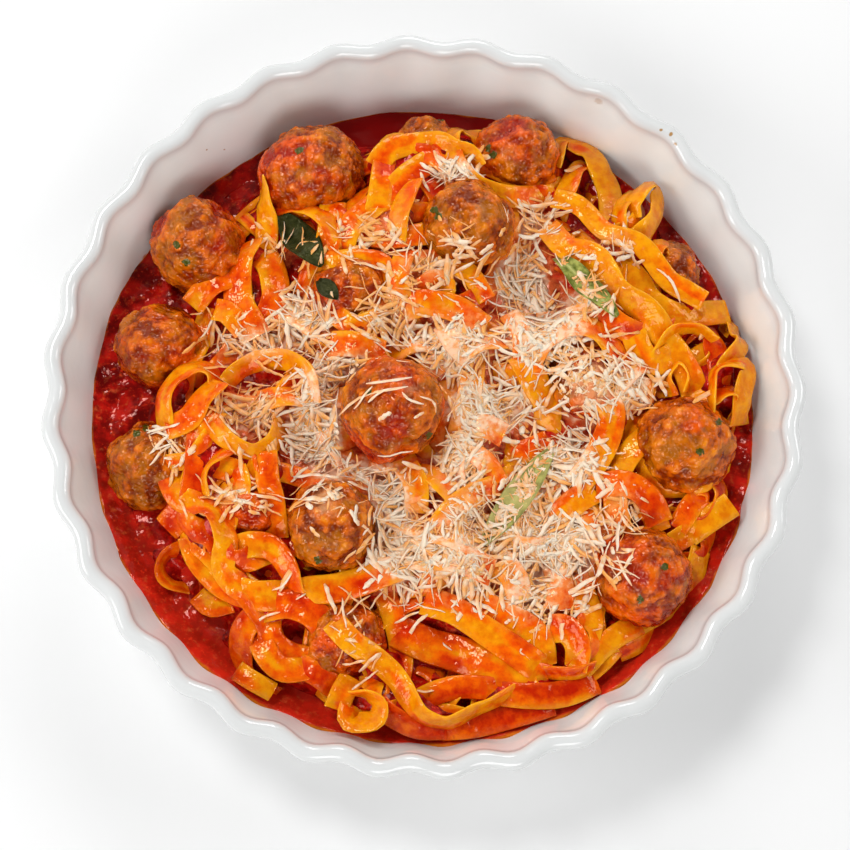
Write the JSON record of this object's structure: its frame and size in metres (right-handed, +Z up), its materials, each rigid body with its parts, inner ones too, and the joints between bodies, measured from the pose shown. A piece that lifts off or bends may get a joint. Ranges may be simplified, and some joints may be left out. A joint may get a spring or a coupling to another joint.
{
  "type": "baked tagliatelle with meatballs in a round dish",
  "caption": "Heap of flat noodles with meatballs, grated cheese and basil in tomato sauce, in a round fluted white dish.",
  "frame": {"origin": "on the table under the middle of the dish, at the middle of the box's bottom face", "axes": "+Z up through the dish; +X to the right and +Y away from a viewer at the near edge"},
  "size_m": [0.2823, 0.2824, 0.0663],
  "materials": {
    "porcelain": "glossy white glaze",
    "sauce": "wet tomato sauce, glossy",
    "pasta": "cooked egg pasta, oily sheen",
    "cheese": "grated hard cheese, slightly waxy",
    "meat": "browned minced meat, moist",
    "basil": "cooked basil leaf, moist"
  },
  "bodies": {
    "root": {"dish": "porcelain", "tomato_sauce": "sauce", "tagliatelle": "pasta", "meatball_01": "meat", "meatball_02": "meat", "meatball_03": "meat", "meatball_04": "meat", "meatball_05": "meat", "meatball_06": "meat", "meatball_07": "meat", "meatball_08": "meat", "meatball_09": "meat", "meatball_10": "meat", "meatball_11": "meat", "meatball_12": "meat", "meatball_13": "meat", "meatball_14": "meat", "meatball_15": "meat", "meatball_16": "meat", "basil_leaf_1": "basil", "basil_leaf_2": "basil", "basil_leaf_3": "basil", "basil_leaf_4": "basil"}
  },
  "joints": []
}
